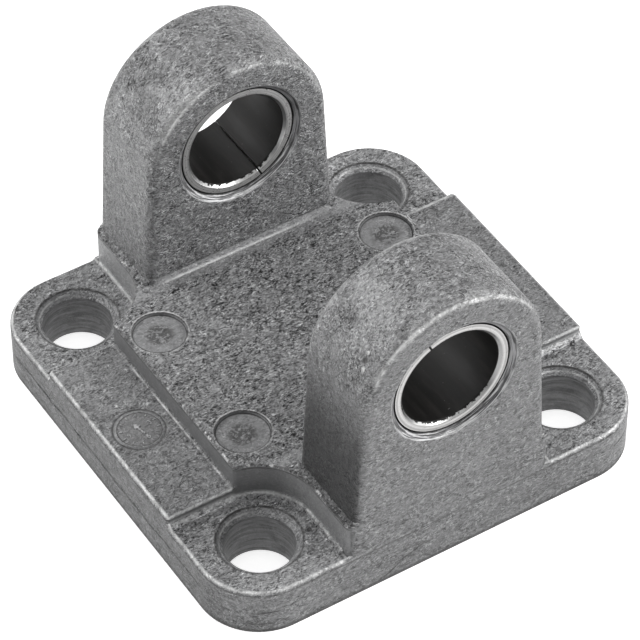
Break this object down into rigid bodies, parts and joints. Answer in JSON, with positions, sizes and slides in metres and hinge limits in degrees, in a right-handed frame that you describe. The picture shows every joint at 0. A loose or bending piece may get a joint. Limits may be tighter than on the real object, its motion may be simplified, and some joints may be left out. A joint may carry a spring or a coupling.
{
  "type": "cylinder rear clevis mount",
  "caption": "Die-cast rear clevis for a 32 mm bore pneumatic cylinder: square screw flange with two lugs and pressed plain bushes for a pivot pin.",
  "frame": {"origin": "centre of the mounting face that lies on the cylinder's rear cover", "axes": "+Z away from the cylinder towards the pivot, +Y along the pivot bore, +X across the lugs"},
  "size_m": [0.045, 0.045, 0.0315],
  "materials": {
    "cast_aluminium": "tumbled die casting, mottled mid grey",
    "bush_steel": "bright steel back with a near-black sliding layer in the bore"
  },
  "bodies": {
    "root": {"clevis_casting": "cast_aluminium", "bush_front": "bush_steel", "bush_rear": "bush_steel"}
  },
  "joints": []
}
